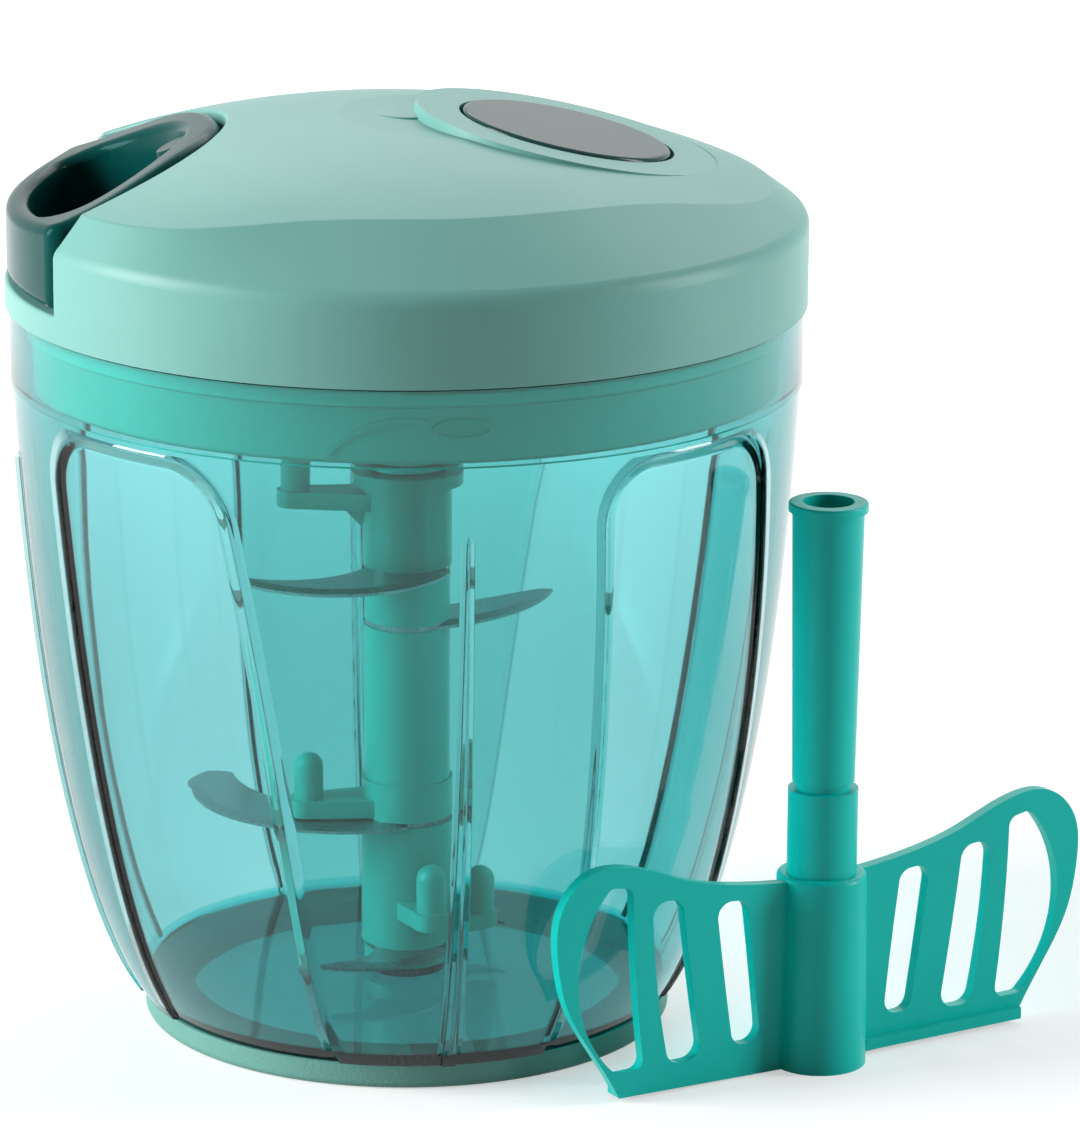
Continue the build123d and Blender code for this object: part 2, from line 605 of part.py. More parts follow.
def make_handle_upper():
    """Upper shell of the handle, with the cord's bore and the knot's chamber."""
    blank = column(handle_plan(), HANDLE_PARTING, CROWN_HEIGHT) & handle_slab(0)
    top = blank.faces().sort_by(Axis.Z)[-1]
    handle = fillet(top.edges(), HANDLE_EDGE)
    anchor = rod(ANCHOR_RADIUS, HANDLE_PARTING, CROWN_HEIGHT, anchor_place(), 0)
    handle += anchor & handle_slab(-1.5)
    handle -= Pos(anchor_place(), 0, CORD_HEIGHT) * Sphere(KNOT_RADIUS + 0.3)
    handle -= lying_rod(CORD_RADIUS + 0.3, anchor_place(), pocket_wall())
    for x, y in handle_screw_places():
        handle -= rod(HANDLE_SCREW_RADIUS, HANDLE_PARTING - 1, HANDLE_PARTING + 4.5, x, y)
    return handle


def make_handle_screw(x, y):
    """Screw that joins the handle's two shells."""
    seat = POCKET_FLOOR + HANDLE_SEAT + 2.0
    head = rod(HANDLE_SCREW_HEAD, seat - 1.6, seat, x, y)
    return head + rod(HANDLE_SCREW_RADIUS - PRESSED, seat, HANDLE_PARTING + 4.0, x, y)


def make_cord_end():
    """Knot and last stretch of the cord, inside the handle."""
    knot = Pos(anchor_place(), 0, CORD_HEIGHT) * Sphere(KNOT_RADIUS)
    return knot + lying_rod(CORD_RADIUS, anchor_place(), pocket_wall() - HANDLE_GAP - 0.3)


# ---- blade unit ----
def spacer(radius, low, high):
    """Plastic tube of the blade unit between two heights."""
    return ring(radius, PIN_RADIUS + RUNNING, low, high)


def arm(reach, peg, low, turn, thickness, peg_height):
    """Flat tapered arm with a round-topped peg near its end."""
    root = LOWER_SPACER_RADIUS - 2.5
    end = reach - ARM_TIP
    flank = Polyline((0, -root), (end, -ARM_TIP), (end, ARM_TIP), (0, root), (0, -root))
    plan = make_face(flank) + Pos(end, 0) * Circle(ARM_TIP)
    body = column(plan, low, low + thickness)
    top = low + thickness + peg_height - PEG_RADIUS
    body += rod(PEG_RADIUS, low + thickness / 2, top, peg, 0)
    body += Pos(peg, 0, top) * Sphere(PEG_RADIUS)
    return Rot(0, 0, turn) * body


def gusset(low, depth, turn):
    """Small web under an arm, against its spacer."""
    edge = SPACER_RADIUS - 1
    web = make_face(Polyline((edge, low), (edge + 4.8, low), (edge, low - depth), (edge, low)))
    return Rot(0, 0, turn) * extrude(Plane.XZ * web, 0.9, both=True)


def ground_wing(outline, edge, turn):
    """A blade's wing over the plane, its convex leading edge ground to a bevel."""
    slope = BLADE_BEVEL[1] / BLADE_BEVEL[0]
    low_radius = edge.radius + slope * (BLADE_THICKNESS - BLADE_BEVEL[0])
    cone = Cone(low_radius, edge.radius - BLADE_BEVEL[1], BLADE_THICKNESS)
    grinding = Pos(edge.arc_center.X, edge.arc_center.Y, BLADE_THICKNESS / 2) * cone
    return Rot(0, 0, turn) * (column(outline, 0, BLADE_THICKNESS) & grinding)


def sickle(reach, belly, turn):
    """Curved wing whose tip lies at a turn, convex on its leading side."""
    outer = ThreePointArc((-6, 6), (0.45 * reach, belly), (reach, 0))
    inner = ThreePointArc((reach, 0), (0.65 * reach, 0.2 * reach), (9, 2.5))
    root = Polyline((9, 2.5), (0, -4), (-6, 6))
    return ground_wing(make_face([outer, inner, root]), outer, turn)


def straight_wing(reach, belly, turn):
    """Slender wing with a straight back, convex on its other side."""
    outer = ThreePointArc((-5, -5), (0.45 * reach, -belly), (reach, 0))
    back = Polyline((reach, 0), (9, 1.5), (0, 5), (-5, -5))
    return ground_wing(make_face([outer, back]), outer, turn)


def paddle(reach, turn):
    """Broad curved wing with a round end."""
    side = ThreePointArc((-4, 7), (0.43 * reach, 18), (reach - 3, 6))
    tip = ThreePointArc((reach - 3, 6), (reach - 0.5, 0.5), (reach - 6, -3))
    back = ThreePointArc((reach - 6, -3), (0.58 * reach, 5), (9, 4))
    root = Polyline((9, 4), (0, -5), (-4, 7))
    return ground_wing(make_face([side, tip, back, root]), side, turn)


def blade(wings, low):
    """Steel blade: its wings on a round root, with the shaft's hole."""
    body = rod(BLADE_ROOT, 0, BLADE_THICKNESS)
    for wing in wings:
        body += wing
    return Pos(0, 0, low) * (body - rod(PIN_RADIUS + RUNNING, -1, BLADE_THICKNESS + 1))


def make_lower_spacer():
    """Lowest spacer, with two short arms and their pegs."""
    low = LOWER_BLADE + BLADE_THICKNESS
    body = rod(LOWER_SPACER_RADIUS, low, MIDDLE_BLADE)
    body += arm(15.5, 12.5, low + 5.5, -71, ARM_THICKNESS, PEG_HEIGHT)
    body += arm(16.5, 13.5, low + 0.5, 21, ARM_THICKNESS - 0.5, PEG_HEIGHT)
    return body - rod(PIN_RADIUS + RUNNING, 0, RIM_HEIGHT)


def make_middle_spacer():
    """Long spacer between the middle blade and the seam, with one arm."""
    low = MIDDLE_BLADE + BLADE_THICKNESS
    body = rod(LOWER_SPACER_RADIUS, low, low + 6.5) + rod(SPACER_RADIUS, low, SEAM_HEIGHT)
    body += arm(20.5, 17.0, low + 0.3, 190, ARM_THICKNESS, PEG_HEIGHT)
    return body - rod(PIN_RADIUS + RUNNING, 0, RIM_HEIGHT)


def make_drive_socket():
    """Top of the blade unit: flanged tube with the hexagonal socket, and one arm."""
    low = UPPER_BLADE + BLADE_THICKNESS
    body = rod(SOCKET_RADIUS, low, UNIT_TOP) + rod(SOCKET_RIM, UNIT_TOP - 2.5, UNIT_TOP)
    body += arm(22.0, 18.8, low + 10.0, 180, ARM_THICKNESS, PEG_HEIGHT)
    body += gusset(low + 10.0, 5.0, 180)
    return body - column(hexagon(HEX_ACROSS + 2 * HEX_GAP), low + SOCKET_FLOOR, UNIT_TOP + 20)


def make_shaft_core():
    """Steel core that the spacers and blades are stacked on."""
    return rod(PIN_RADIUS, PIN_TOP + 1.5, UPPER_BLADE + BLADE_THICKNESS)


# ---- whisk ----
def whisk_place(shape):
    """Puts a whisk piece, made about its own axis, beside the bowl."""
    turn = radians(WHISK_AZIMUTH)
    return Pos(WHISK_DISTANCE * cos(turn), WHISK_DISTANCE * sin(turn), 0) * Rot(0, 0, WHISK_TURN) * shape


def whisk_hub_form():
    """The hub's tapered barrel."""
    top = WHISK_HUB_RADIUS - WHISK_HUB_TAPER
    return Pos(0, 0, WHISK_HUB_HEIGHT / 2) * Cone(WHISK_HUB_RADIUS, top, WHISK_HUB_HEIGHT)


def make_whisk_hub():
    """Hub with the bore for the bowl's pin and the sleeve for the tube."""
    hub = fillet(whisk_hub_form().edges().group_by(Axis.Z)[-1], 0.8)
    hub += rod(WHISK_SLEEVE_RADIUS, WHISK_HUB_HEIGHT - 1, WHISK_SLEEVE_TOP)
    hub -= rod(WHISK_NECK + PRESSED, WHISK_HUB_HEIGHT + 2, WHISK_HEIGHT)
    return whisk_place(hub - rod(PIN_RADIUS + 0.1, -1, PIN_TOP - 3))


def make_whisk_tube():
    """Tapered drive tube with a neck that plugs into the hub's sleeve."""
    low = WHISK_SLEEVE_TOP + WHISK_GROOVE
    height = WHISK_HEIGHT - low
    tube = Pos(0, 0, low + height / 2) * Cone(WHISK_TUBE_LOW, WHISK_TUBE_HIGH, height)
    rim = rod(WHISK_TUBE_HIGH + 0.6, WHISK_HEIGHT - 1.5, WHISK_HEIGHT)
    tube += fillet(rim.edges().group_by(Axis.Z)[-1], 0.4)
    tube += rod(WHISK_NECK, WHISK_HUB_HEIGHT + 2, low)
    return whisk_place(tube - rod(WHISK_BORE, WHISK_HEIGHT - WHISK_BORE_DEPTH, WHISK_HEIGHT + 1))


def whisk_slot(outer, inner, corner):
    """One curved opening with round ends, between two upright bows."""
    right = ThreePointArc(*outer)
    left = ThreePointArc(*inner)
    ends = [Line(right @ 0, left @ 0), Line(right @ 1, left @ 1)]
    face = make_face([right, left] + ends)
    return fillet(face.vertices(), corner)


def wing_outline():
    """Outline of one wing, from inside the hub to its round outer edge."""
    low = [(40, 0.9), (45.5, 10), (50, 18), (52, 27), (51.3, 35)]
    high = [(46, 40.4), (37, 40.2), (27, 36.4), (18, 34.2), (10, 33.1), (4, 32.6)]
    wing = make_face([Spline(low + high), Polyline((4, 32.6), (4, 0), (40, 0.9))])
    wing -= whisk_slot(((41.8, 37.6), (48, 24), (40.4, 5)), ((37.6, 36.8), (37, 22), (35.2, 5)), 1.9)
    wing -= whisk_slot(((33.8, 33.8), (32.9, 20), (30.4, 5)), ((28.0, 33.4), (26.2, 20), (23.8, 5)), 2.7)
    wing -= whisk_slot(((21.4, 31.6), (19.6, 18), (17.8, 6)), ((15.4, 31.2), (13.7, 18), (12.4, 6)), 2.5)
    return wing


def make_whisk_paddles():
    """Two slotted wings on the hub, each with a lip along its foot."""
    wing = extrude(Plane.XZ * wing_outline(), WHISK_PLATE / 2, both=True)
    lip = Pos(24, -WHISK_PLATE / 2 - WHISK_LIP / 2, 1.9) * Box(32, WHISK_LIP, 2.0)
    wing = wing + lip - whisk_hub_form()
    return whisk_place(wing + Rot(0, 0, 180) * wing)


# ---- every piece, one file each ----
def all_parts():
    """Name and solid of every piece."""
    parts = {
        "bowl": make_bowl(),
        "base_ring": make_base_ring(),
        "bowl_pin": make_bowl_pin(),
        "lid_cover": make_lid_cover(),
        "badge": make_badge(),
        "gear_housing": make_gear_housing(),
        "seal_ring": make_seal_ring(),
        "cord_guide": make_cord_guide(),
        "spring_arbor": make_spring_arbor(),
        "spiral_spring": make_spiral_spring(),
        "thrust_washer": make_thrust_washer(),
        "cord_lead": make_cord_lead(),
        "reel": make_reel(),
        "spring_cap": make_spring_cap(),
        "drive_dog": make_drive_dog(),
        "cord_winding": make_cord_winding(),
        "handle_lower": make_handle_lower(),
        "handle_upper": make_handle_upper(),
        "cord_end": make_cord_end(),
        "bottom_bush": spacer(SPACER_RADIUS, UNIT_BOTTOM, LOWER_BLADE),
        "lower_blade": blade([sickle(LOWER_REACH, 10.5, 218), sickle(LOW_REACH, 10.5, 26)], LOWER_BLADE),
        "lower_spacer": make_lower_spacer(),
        "middle_blade": blade([paddle(MIDDLE_REACH, 150)], MIDDLE_BLADE),
        "middle_spacer": make_middle_spacer(),
        "upper_spacer": spacer(SPACER_RADIUS, SEAM_HEIGHT, SECOND_BLADE),
        "second_blade": blade([straight_wing(SECOND_REACH, 7.8, 36.4)], SECOND_BLADE),
        "blade_spacer": spacer(SPACER_RADIUS, SECOND_BLADE + BLADE_THICKNESS, UPPER_BLADE),
        "upper_blade": blade([sickle(UPPER_REACH, 15.5, 195.7)], UPPER_BLADE),
        "drive_socket": make_drive_socket(),
        "shaft_core": make_shaft_core(),
        "whisk_hub": make_whisk_hub(),
        "whisk_tube": make_whisk_tube(),
        "whisk_paddles": make_whisk_paddles(),
    }
    for number, (x, y) in enumerate(screw_places(), 1):
        parts[f"housing_screw_{number}"] = make_housing_screw(x, y)
    for number, (x, y) in enumerate(handle_screw_places(), 1):
        parts[f"handle_screw_{number}"] = make_handle_screw(x, y)
    return parts


os.makedirs("parts", exist_ok=True)
for name, solid in all_parts().items():
    export_step(solid, f"parts/{name}.step")
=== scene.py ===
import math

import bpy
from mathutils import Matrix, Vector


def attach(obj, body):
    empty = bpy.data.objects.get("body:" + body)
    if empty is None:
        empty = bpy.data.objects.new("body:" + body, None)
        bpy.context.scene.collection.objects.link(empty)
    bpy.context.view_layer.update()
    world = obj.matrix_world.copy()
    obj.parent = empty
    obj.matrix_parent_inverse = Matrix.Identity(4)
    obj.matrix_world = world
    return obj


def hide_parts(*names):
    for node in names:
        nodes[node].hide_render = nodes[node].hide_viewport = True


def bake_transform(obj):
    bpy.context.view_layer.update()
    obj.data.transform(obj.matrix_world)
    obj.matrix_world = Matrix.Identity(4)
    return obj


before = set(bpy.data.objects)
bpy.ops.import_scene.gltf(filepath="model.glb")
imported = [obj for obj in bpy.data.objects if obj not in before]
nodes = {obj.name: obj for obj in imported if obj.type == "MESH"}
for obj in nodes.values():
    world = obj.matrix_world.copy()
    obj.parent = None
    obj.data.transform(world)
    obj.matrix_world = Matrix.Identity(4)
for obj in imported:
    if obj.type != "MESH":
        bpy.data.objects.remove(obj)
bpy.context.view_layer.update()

# %% [markdown]
# # A pull-cord chopper with a clear bowl
# The object is a kitchen chopper: a clear plastic bowl, a stack of blades on a
# pin, and a lid with a cord reel that a side handle turns. A loose whisk stands
# beside it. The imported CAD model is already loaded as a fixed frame, so this
# lesson only adds what makes it look real: finishes, soft edges, a few shapes
# that plain CAD can't give, a camera and a small studio.

MM = 0.001

# %% [markdown]
# ## The camera
# A product picture is taken from far away with a long lens, so that upright
# lines stay upright. The camera stands one metre off, a little above the lid,
# and is turned slightly to the right so that bowl and whisk share the frame.
# A camera looks along its own -Z, so its matrix is built from three directions.

# %% Place the camera
FRAME_WIDTH = 1080
FOCAL_PIXELS = 5903.37
CAMERA_DISTANCE = 1.0
CAMERA_ELEVATION = math.radians(15.45)
CAMERA_YAW = math.radians(1.29)
AIM_HEIGHT = 76.24 * MM


def camera_matrix():
    back = Vector((0, -math.cos(CAMERA_ELEVATION), math.sin(CAMERA_ELEVATION)))
    place = Vector((0, 0, AIM_HEIGHT)) + CAMERA_DISTANCE * back
    forward = -back
    right = Vector((1, 0, 0))
    up = right.cross(forward)
    turned = forward * math.cos(CAMERA_YAW) + right * math.sin(CAMERA_YAW)
    side = right * math.cos(CAMERA_YAW) - forward * math.sin(CAMERA_YAW)
    turn = Matrix((side, up, -turned)).transposed()
    return Matrix.Translation(place) @ turn.to_4x4()


camera = bpy.data.objects.new("camera", bpy.data.cameras.new("camera"))
bpy.context.collection.objects.link(camera)
camera.data.sensor_fit = "HORIZONTAL"
camera.data.sensor_width = 36
camera.data.lens = FOCAL_PIXELS * camera.data.sensor_width / FRAME_WIDTH
camera.data.clip_end = 20
camera.matrix_world = camera_matrix()
bpy.context.scene.camera = camera
bpy.context.scene.view_settings.view_transform = "Standard"
print("lens in mm:", round(camera.data.lens, 1))

# %% [markdown]
# ## Shader maths as Python
# A material is a graph of nodes. Wiring each one by hand hides the idea, so two
# small helpers are written first. `Flow` wraps a socket, and sums and products
# on it add Math nodes. `Finish` makes a material and adds any other node in one
# call: its settings first, then the values or links of its sockets.

# %% Helpers for materials
class Flow:
    def __init__(self, finish, socket):
        self.finish = finish
        self.socket = socket

    def maths(self, operation, *values):
        node = self.finish.add("ShaderNodeMath", {"operation": operation}, dict(enumerate(values)))
        return Flow(self.finish, node.outputs[0])

    def __add__(self, other):
        return self.maths("ADD", self, other)

    def __radd__(self, other):
        return self.maths("ADD", other, self)

    def __sub__(self, other):
        return self.maths("SUBTRACT", self, other)

    def __rsub__(self, other):
        return self.maths("SUBTRACT", other, self)

    def __mul__(self, other):
        return self.maths("MULTIPLY", self, other)

    def __rmul__(self, other):
        return self.maths("MULTIPLY", other, self)


class Finish:
    def __init__(self, name, owner=None, output="ShaderNodeOutputMaterial"):
        self.material = owner or bpy.data.materials.new(name)
        self.material.use_nodes = True
        self.tree = self.material.node_tree
        self.tree.nodes.clear()
        self.output = self.add(output, {}, {})

    def add(self, kind, settings, inputs):
        node = self.tree.nodes.new(kind)
        for key, value in settings.items():
            if key == "stops":
                self.set_stops(node.color_ramp, value)
            else:
                setattr(node, key, value)
        for key, value in inputs.items():
            if isinstance(value, Flow):
                self.tree.links.new(value.socket, node.inputs[key])
            elif isinstance(value, bpy.types.NodeSocket):
                self.tree.links.new(value, node.inputs[key])
            else:
                node.inputs[key].default_value = value
        return node

    def set_stops(self, ramp, stops):
        while len(ramp.elements) < len(stops):
            ramp.elements.new(0.5)
        for element, (place, colour) in zip(ramp.elements, stops):
            element.position = place
            element.color = colour

    def flow(self, node, output=0):
        return Flow(self, node.outputs[output])

    def show(self, shader):
        self.tree.links.new(shader.outputs[0], self.output.inputs["Surface"])
        return self.material


print("helpers ready")

# %% [markdown]
# ## Moulded plastics
# All the coloured parts are injection moulded. Such plastic is one colour all through. What makes it look
# real is its skin: a fine spark-eroded grain on the satin parts, a very slight waviness on the glossy
# ones, and roughness that changes a little from place to place. One function makes all of them, because
# only the numbers differ.

# %% A moulded plastic finish
GRAIN_SCALE = 2500
PLASTIC_IOR = 1.49


def place_of(finish):
    return finish.add("ShaderNodeTexCoord", {}, {}).outputs["Object"]


def noise(finish, scale, detail=2.0):
    inputs = {"Vector": place_of(finish), "Scale": scale, "Detail": detail}
    return finish.flow(finish.add("ShaderNodeTexNoise", {}, inputs), "Fac")


def tint(colour, amount):
    return tuple(min(1.0, part * amount) for part in colour) + (1,)


def moulded(name, colour, roughness, grain=0.0, waviness=0.0, rub=0.04, **shader):
    finish = Finish(name)
    cloud = noise(finish, 28)
    shades = finish.add(
        "ShaderNodeValToRGB",
        {"stops": [(0.35, tint(colour, 0.965)), (0.65, tint(colour, 1.03))]},
        {"Fac": cloud},
    )
    height = noise(finish, GRAIN_SCALE, 1.0) * grain + noise(finish, 45, 1.0) * waviness
    bump = finish.add("ShaderNodeBump", {}, {"Height": height, "Strength": 0.35, "Distance": 0.0004})
    values = {
        "Base Color": shades.outputs["Color"],
        "Roughness": noise(finish, 60, 3.0) * (2 * rub) + (roughness - rub),
        "Normal": bump.outputs["Normal"],
        "IOR": PLASTIC_IOR,
    }
    values.update(shader)
    return finish.show(finish.add("ShaderNodeBsdfPrincipled", {}, values))


MINT = (0.165, 0.41, 0.37)
DARK_GREEN = (0.002, 0.056, 0.052)
TEAL = (0.004, 0.52, 0.46)
UNIT_TEAL = (0.006, 0.47, 0.40)
mint = moulded(
    "mint_satin",
    MINT,
    0.40,
    grain=0.1,
    **{"Specular IOR Level": 0.2, "Coat Weight": 0.2, "Coat Roughness": 0.45},
)
dark_gloss = moulded(
    "dark_green_gloss",
    DARK_GREEN,
    0.2,
    waviness=0.3,
    rub=0.03,
    **{"Specular IOR Level": 0.08, "Specular Tint": (0.3, 0.95, 0.9, 1)},
)
badge_gloss = moulded(
    "badge_gloss", DARK_GREEN, 0.16, waviness=0.3, rub=0.03, **{"Specular IOR Level": 0.2}
)
teal_body = moulded("teal_moulded", TEAL, 0.32, grain=0.1, **{"Specular IOR Level": 0.2})
housing_teal = moulded("teal_housing", (0.009, 0.64, 0.52), 0.30, grain=0.1)
socket_teal = moulded("teal_socket", UNIT_TEAL, 0.22, grain=0.05, **{"Transmission Weight": 0.45})
soft_green = moulded("soft_green_rubber", (0.13, 0.34, 0.29), 0.55, grain=0.6)
seal_silicone = moulded("teal_silicone_seal", (0.03, 0.80, 0.66), 0.45, grain=0.3)
white_nylon = moulded("white_nylon", (0.72, 0.74, 0.72), 0.45, grain=0.3)
unit_teal = moulded("teal_spacer", UNIT_TEAL, 0.3, grain=0.05, **{"Transmission Weight": 0.12})
print("plastics:", mint.name, dark_gloss.name, teal_body.name)

# %% [markdown]
# ## Clear plastics
# The bowl is clear styrene with a little teal dye. Light bends when it enters
# and leaves the wall, which draws the dark and bright lines along the steps, and
# dye absorbs more light the longer its way through the plastic is. So most of
# the colour comes from a volume inside a clear surface. First, the lines that
# the finish draws along the sunk panels and the ribs are worked out.

# %% Where the bowl's panels end
PANEL_AZIMUTH = -44.0
RIB_AZIMUTH = 8.5
PANEL_TOP = 109.8
PANEL_CORNER = 10.0
PANEL_LEFT_LOW = 12.2
PANEL_LEFT_SPREAD = 7.4
PANEL_RIGHT_LOW = 21.8
PANEL_RIGHT_SLOPE = 0.1271
PANEL_RIGHT_CURVE = 0.00144
RIB_TOP = 98.0
RIB_HALF_WIDTH = 1.2
RIB_TAPER = 0.95
WALL_RADIUS = (43.23, 0.63797, -0.0092778, 7.7024e-05, -2.5769e-07)
SKIN_DEPTH = 1.75
LOWEST_LINE = 6.5


def across(finish, x, y, azimuth):
    """Millimetres across the nearest of four faces that look out at an azimuth."""
    facing = math.radians(azimuth - 90)
    turn = y.maths("ARCTAN2", y, x) - facing
    near = turn.maths("WRAP", turn, math.pi / 4, -math.pi / 4)
    radius = (x * x + y * y).maths("SQRT", x * x + y * y)
    return radius * near.maths("SINE", near)


def edge_line(gap, width):
    """1 on an edge, falling to 0 at a width on both sides of it."""
    return gap.finish.flow(
        gap.finish.add(
            "ShaderNodeMapRange",
            {"interpolation_type": "SMOOTHSTEP"},
            {0: gap.maths("ABSOLUTE", gap), 1: 0.0, 2: width, 3: 1.0, 4: 0.0},
        )
    )


def bowl_lines(finish):
    """Lines along the rims of the sunk panels and along the thin ribs."""
    parts = finish.add("ShaderNodeSeparateXYZ", {}, {0: place_of(finish)})
    x, y, z = (finish.flow(parts, axis) * 1000 for axis in "XYZ")
    u = across(finish, x, y, PANEL_AZIMUTH)
    left = z * (-PANEL_LEFT_SPREAD / PANEL_TOP) - PANEL_LEFT_LOW
    right = z * PANEL_RIGHT_SLOPE - z * z * PANEL_RIGHT_CURVE + PANEL_RIGHT_LOW
    beside = (u - (left + right) * 0.5).maths("ABSOLUTE", u - (left + right) * 0.5)
    out = beside - (right - left) * 0.5 + PANEL_CORNER
    above = z - (PANEL_TOP - PANEL_CORNER)
    out_far = out.maths("MAXIMUM", out, 0.0)
    above_far = above.maths("MAXIMUM", above, 0.0)
    corner = out_far * out_far + above_far * above_far
    inside = out.maths("MAXIMUM", out, above)
    gap = corner.maths("SQRT", corner) + inside.maths("MINIMUM", inside, 0.0) - PANEL_CORNER
    rib_u = across(finish, x, y, RIB_AZIMUTH)
    rib_half = z * (-RIB_TAPER / RIB_TOP) + RIB_HALF_WIDTH
    rib_gap = rib_u.maths("ABSOLUTE", rib_u) - rib_half
    wall = z * 0.0
    for share in reversed(WALL_RADIUS):
        wall = wall * z + share
    reach = x * x + y * y
    outside = reach.maths("GREATER_THAN", reach.maths("SQRT", reach), wall - SKIN_DEPTH)
    outer = outside * z.maths("GREATER_THAN", z, LOWEST_LINE)
    below_tip = outer * z.maths("LESS_THAN", z, RIB_TOP + 1)
    below_collar = outer * z.maths("LESS_THAN", z, PANEL_TOP + 0.7)
    return gap, rib_gap, below_tip, below_collar


print("panels end at", PANEL_TOP, "mm, ribs at", RIB_TOP, "mm")

# %% [markdown]
# The clear finish bends light at its surface and takes most of its colour from the way through it. Base
# colour adds three things: darker lines along the rims and ribs, which are painted shade standing in for
# the dark lines that bent light draws at the steps, slightly greener posts between the panels, and a
# deeper floor. A shadow ray goes almost straight through, so that the clear wall casts only a faint
# shadow.

# %% A dyed clear finish
STYRENE_IOR = 1.47
RIM_SHADE_WIDTH = 0.8
RIB_SHADE_WIDTH = 0.45
RIB_SHADE_SHARE = 0.35
RIM_BEAD = 2.2
RIB_BEAD = 0.9
POST_TINT = (0.82, 0.97, 0.94, 1)
# Colour of the painted shade drawn along the rims and ribs.
RIM_PAINTED_SHADE = (0.02, 0.18, 0.22, 1)
FLOOR_TINT = (0.08, 0.72, 0.72, 1)
FLOOR_TINT_FADE = (7.0 * MM, 7.4 * MM)


def clear(name, surface_colour, roughness, dye, density):
    finish = Finish(name)
    skin = noise(finish, 35, 1.0)
    gap, rib_gap, below_tip, below_collar = bowl_lines(finish)
    # The rim and rib lines darken the base colour: painted shade for the dark lines that bent light draws
    # along the steps.
    rim = edge_line(gap, RIM_SHADE_WIDTH) * below_collar
    rib = edge_line(rib_gap, RIB_SHADE_WIDTH) * below_tip
    painted_line_shade = rim.maths("MAXIMUM", rim, rib * RIB_SHADE_SHARE)
    bead = edge_line(gap, RIM_BEAD) * below_collar + edge_line(rib_gap, RIB_BEAD) * below_tip
    height = skin * 0.1 + bead
    bump = finish.add("ShaderNodeBump", {}, {"Height": height, "Strength": 0.9, "Distance": 0.0009})
    post = finish.add("ShaderNodeMapRange", {}, {0: gap, 1: -0.6, 2: 0.6, 3: 0.0, 4: 1.0})
    thicker = finish.add(
        "ShaderNodeMix",
        {"data_type": "RGBA"},
        {0: post.outputs[0], 6: surface_colour + (1,), 7: POST_TINT},
    )
    posts_and_painted_shade = finish.add(
        "ShaderNodeMix",
        {"data_type": "RGBA"},
        {0: painted_line_shade * 0.8, 6: thicker.outputs[2], 7: RIM_PAINTED_SHADE},
    )
    z = finish.add("ShaderNodeSeparateXYZ", {}, {0: place_of(finish)}).outputs["Z"]
    fade_start, fade_end = FLOOR_TINT_FADE
    low = finish.add("ShaderNodeMapRange", {}, {0: z, 1: fade_start, 2: fade_end, 3: 1.0, 4: 0.0})
    deeper = finish.add(
        "ShaderNodeMix",
        {"data_type": "RGBA"},
        {0: low.outputs[0], 6: posts_and_painted_shade.outputs[2], 7: FLOOR_TINT},
    )
    shader = finish.add(
        "ShaderNodeBsdfPrincipled",
        {},
        {
            "Base Color": deeper.outputs[2],
            "Roughness": roughness,
            "IOR": STYRENE_IOR,
            "Specular IOR Level": 0.25,
            "Transmission Weight": 1.0,
            "Normal": bump.outputs["Normal"],
        },
    )
    path = finish.add("ShaderNodeLightPath", {}, {})
    see_through = finish.add("ShaderNodeBsdfTransparent", {}, {"Color": (0.9, 0.9, 0.9, 1)})
    either = finish.add(
        "ShaderNodeMixShader",
        {},
        {0: path.outputs["Is Shadow Ray"], 1: shader.outputs[0], 2: see_through.outputs[0]},
    )
    absorb = finish.add("ShaderNodeVolumeAbsorption", {}, {"Color": dye + (1,), "Density": density})
    finish.tree.links.new(absorb.outputs[0], finish.output.inputs["Volume"])
    return finish.show(either)


clear_bowl = clear("clear_teal_bowl", (0.96, 1.0, 1.0), 0.02, (0.08, 0.68, 0.70), 480)
print("clear finish:", clear_bowl.name)

# %% [markdown]
# ## Steel
# The blades are stamped sheet, ground along the edge. Grinding leaves fine
# scratches, so the roughness and the bump come from noise that is squeezed
# across one direction.

# %% Ground steel
def steel_finish(name, roughness):
    finish = Finish(name)
    stretched = finish.add(
        "ShaderNodeMapping", {}, {"Vector": place_of(finish), "Scale": (150, 2600, 150)}
    )
    inputs = {"Vector": stretched.outputs[0], "Scale": 6.0, "Detail": 3.0}
    scratches = finish.add("ShaderNodeTexNoise", {}, inputs)
    line = finish.flow(scratches, "Fac")
    bump = finish.add("ShaderNodeBump", {}, {"Height": line, "Strength": 0.02, "Distance": 0.0001})
    shades = finish.add(
        "ShaderNodeValToRGB",
        {"stops": [(0.3, (0.33, 0.36, 0.37, 1)), (0.7, (0.38, 0.41, 0.42, 1))]},
        {"Fac": line},
    )
    values = {
        "Base Color": shades.outputs["Color"],
        "Metallic": 1.0,
        "Roughness": line * 0.06 + (roughness - 0.03),
        "Normal": bump.outputs["Normal"],
    }
    return finish.show(finish.add("ShaderNodeBsdfPrincipled", {}, values))


steel = steel_finish("ground_steel", 0.28)
print("steel:", steel.name)
